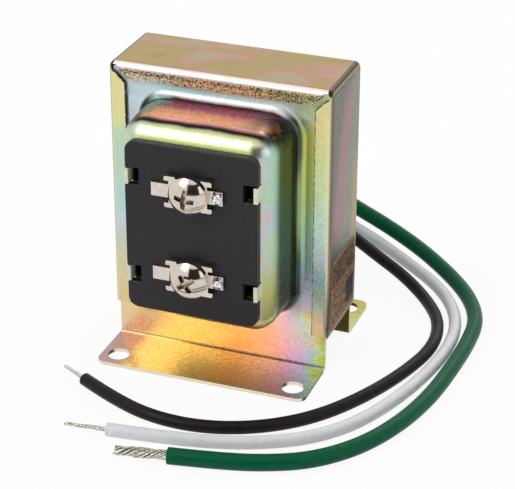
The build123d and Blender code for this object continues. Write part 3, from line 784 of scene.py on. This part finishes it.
nickel = simple("nickel_plate", (208, 198, 188), (220, 211, 201), 1.0, 0.13, 0.8, 0.00001)
screw_nickel = screw_plate()
solder = simple("solder_metal", (66, 62, 56), (252, 250, 246), 1.0, 0.16, 1.5, 0.00012, spread=0.09)
board = simple("board_phenolic", (28, 22, 26), (40, 33, 38), 0.0, 0.5, 4.0, 0.00003, specular=0.35)
core = simple(
    "core_steel_edges", (70, 70, 74), (112, 112, 116), 0.8, 0.5, 3.0, 0.00004, (0.3, 6, 0.3)
)
nylon = simple("bobbin_nylon", (206, 198, 172), (222, 214, 190), 0.0, 0.5, 1.2)
copper = simple("magnet_wire", (150, 66, 30), (196, 96, 48), 0.6, 0.35, 2.0, 0.00005, (8, 1, 1))
tape = simple("coil_tape", (206, 170, 60), (226, 192, 84), 0.0, 0.3, 0.8)
can = simple("cutout_can", (34, 34, 37), (52, 52, 56), 0.0, 0.4, 2.0)
sleeve = simple("insulating_sleeve", (206, 200, 184), (226, 220, 206), 0.0, 0.4, 1.5)
black_nylon = simple("bushing_nylon", (28, 28, 30), (44, 44, 46), 0.0, 0.45, 2.5)
green_vinyl = simple("green_vinyl", (0, 80, 50), (0, 94, 60), 0.0, 0.34, 0.9, specular=0.12)
white_vinyl = simple("white_vinyl", (222, 222, 227), (234, 234, 238), 0.0, 0.36, 0.9, specular=0.3)
black_vinyl = simple(
    "black_vinyl", (26, 20, 23), (38, 31, 34), 0.0, 0.38, 0.9, 0.00003, specular=0.12
)
tinned = simple("tinned_wire", (150, 144, 134), (232, 226, 216), 1.0, 0.28, 3.0, spread=0.12)


def dress(piece, material):
    piece.data.materials.clear()
    piece.data.materials.append(material)


FINISHES = {
    "front_cover": front_plating(),
    "rear_cover": rear_plating(),
    "clamp_band": band_plating(),
    "e_laminations": core,
    "i_laminations": core,
    "bobbin": nylon,
    "primary_winding": copper,
    "secondary_winding": copper,
    "primary_wrap": tape,
    "secondary_wrap": tape,
    "thermal_cutout": can,
    "cutout_tape": tape,
    "terminal_board": board,
    "lead_bushing": black_nylon,
    "black_splice": sleeve,
    "white_splice": sleeve,
    "ground_strap": nickel,
}
for name in ("upper", "lower"):
    FINISHES[name + "_terminal_strip"] = nickel
    FINISHES[name + "_clamp_plate"] = nickel
    FINISHES[name + "_terminal_screw"] = screw_nickel
    FINISHES[name + "_solder_joint"] = solder
    FINISHES[name + "_secondary_wire"] = sleeve
for name, material in FINISHES.items():
    dress(nodes[name], material)
dress(foil_plate(), foil())
for name, seed in (("upper", 5.0), ("lower", 8.7)):
    dress(solder_lump(name, seed), solder)
for colour, material in (("green", green_vinyl), ("white", white_vinyl), ("black", black_vinyl)):
    dress(leads[colour], material)
    dress(bare_ends[colour], tinned)

# Floor, world and lamps
FLOOR_GAP = 0.00002     # between the floor and the underside of the feet
PAPER_GLOW = 0.91       # share of plain white in the floor, for rays that show the background
DIFFUSE_LEVEL = 0.75    # strength of the world's light on matt surfaces
floor_mesh = bpy.data.meshes.new("floor")
floor_mesh.from_pydata([(-3, -3, 0), (3, -3, 0), (3, 3, 0), (-3, 3, 0)], [], [(0, 1, 2, 3)])
floor = bpy.data.objects.new("floor", floor_mesh)
floor.location.z = -FLOOR_GAP
scene.collection.objects.link(floor)


def joined(tree, operation, first, second):
    """A math node of two sockets."""
    node = tree.nodes.new("ShaderNodeMath")
    node.operation = operation
    tree.links.new(first, node.inputs[0])
    tree.links.new(second, node.inputs[1])
    return node.outputs[0]


def seen_rays(tree):
    """One for rays that show the background: camera, glossy and transmission rays."""
    path = tree.nodes.new("ShaderNodeLightPath")
    total = path.outputs["Is Camera Ray"]
    for name in ("Is Glossy Ray", "Is Transmission Ray"):
        total = joined(tree, "MAXIMUM", total, path.outputs[name])
    return total


floor_material = bpy.data.materials.new("floor_paper")
floor_material.use_nodes = True
tree = floor_material.node_tree
paper = tree.nodes["Principled BSDF"]
paper.inputs["Base Color"].default_value = (0.95, 0.95, 0.95, 1)
paper.inputs["Roughness"].default_value = 0.9
glow = tree.nodes.new("ShaderNodeEmission")
share = tree.nodes.new("ShaderNodeMath")
share.operation = "MULTIPLY"
share.inputs[1].default_value = PAPER_GLOW
tree.links.new(seen_rays(tree), share.inputs[0])
blend = tree.nodes.new("ShaderNodeMixShader")
tree.links.new(share.outputs[0], blend.inputs[0])
tree.links.new(paper.outputs[0], blend.inputs[1])
tree.links.new(glow.outputs[0], blend.inputs[2])
tree.links.new(blend.outputs[0], tree.nodes["Material Output"].inputs["Surface"])
floor_mesh.materials.append(floor_material)

world = bpy.data.worlds.new("studio")
world.use_nodes = True
scene.world = world
tree = world.node_tree
sky = tree.nodes["Background"]
level = tree.nodes.new("ShaderNodeMapRange")
level.inputs["To Min"].default_value = DIFFUSE_LEVEL
level.inputs["To Max"].default_value = 1.0
tree.links.new(seen_rays(tree), level.inputs["Value"])
tree.links.new(level.outputs[0], sky.inputs["Strength"])


def patch(tree, direction, edges):
    """The product of soft edges across the directions of the room."""
    product = None
    for axis, low, high, start, end in edges:
        edge = soft_step(tree, low, high, start, end)
        tree.links.new(direction.outputs[axis], edge.inputs["Value"])
        if product is None:
            product = edge.outputs[0]
        else:
            product = joined(tree, "MULTIPLY", product, edge.outputs[0])
    return product


# Two dim stretches of the room in front, one low and one tall to the right, which bright metal
# shows as dark bands. Each edge: the direction's part, where it starts and ends, and its values
LOW_STRETCH = [
    ("Z", 0.0, 0.03, 0, 1), ("Z", 0.18, 0.24, 1, 0),
    ("Y", -0.8, -0.7, 1, 0), ("X", -0.45, -0.38, 0, 1),
]
RIGHT_STRETCH = [
    ("Z", 0.02, 0.06, 0, 1), ("Z", 0.72, 0.78, 1, 0),
    ("Y", -0.3, -0.2, 1, 0), ("X", -0.12, -0.05, 0, 1),
]
way = tree.nodes.new("ShaderNodeTexCoord")
direction = tree.nodes.new("ShaderNodeSeparateXYZ")
tree.links.new(way.outputs["Generated"], direction.inputs[0])
low_patch = patch(tree, direction, LOW_STRETCH)
right_patch = patch(tree, direction, RIGHT_STRETCH)
shade = tree.nodes.new("ShaderNodeMix")
shade.data_type = "RGBA"
shade.inputs[MIX_FIRST].default_value = (1, 1, 1, 1)
shade.inputs[MIX_SECOND].default_value = (0.03, 0.03, 0.03, 1)
tree.links.new(joined(tree, "MAXIMUM", low_patch, right_patch), shade.inputs[0])
tree.links.new(shade.outputs[MIX_RESULT], sky.inputs["Color"])

LAMP_SIZE = 0.5
LAMP_AIM = Vector((0, 0, 0.03))


def softbox(name, place, watts):
    """A square area lamp aimed at the middle of the object."""
    data = bpy.data.lights.new(name, "AREA")
    data.size = LAMP_SIZE
    data.energy = watts
    lamp = bpy.data.objects.new(name, data)
    lamp.location = place
    aim = LAMP_AIM - Vector(place)
    lamp.rotation_mode = "QUATERNION"
    lamp.rotation_quaternion = aim.to_track_quat("-Z", "Y")
    scene.collection.objects.link(lamp)


softbox("key", (-0.45, -0.55, 0.75), 3.0)
softbox("fill", (0.75, -0.35, 0.35), 1.0)
softbox("rear", (0.15, 0.75, 0.6), 1.5)
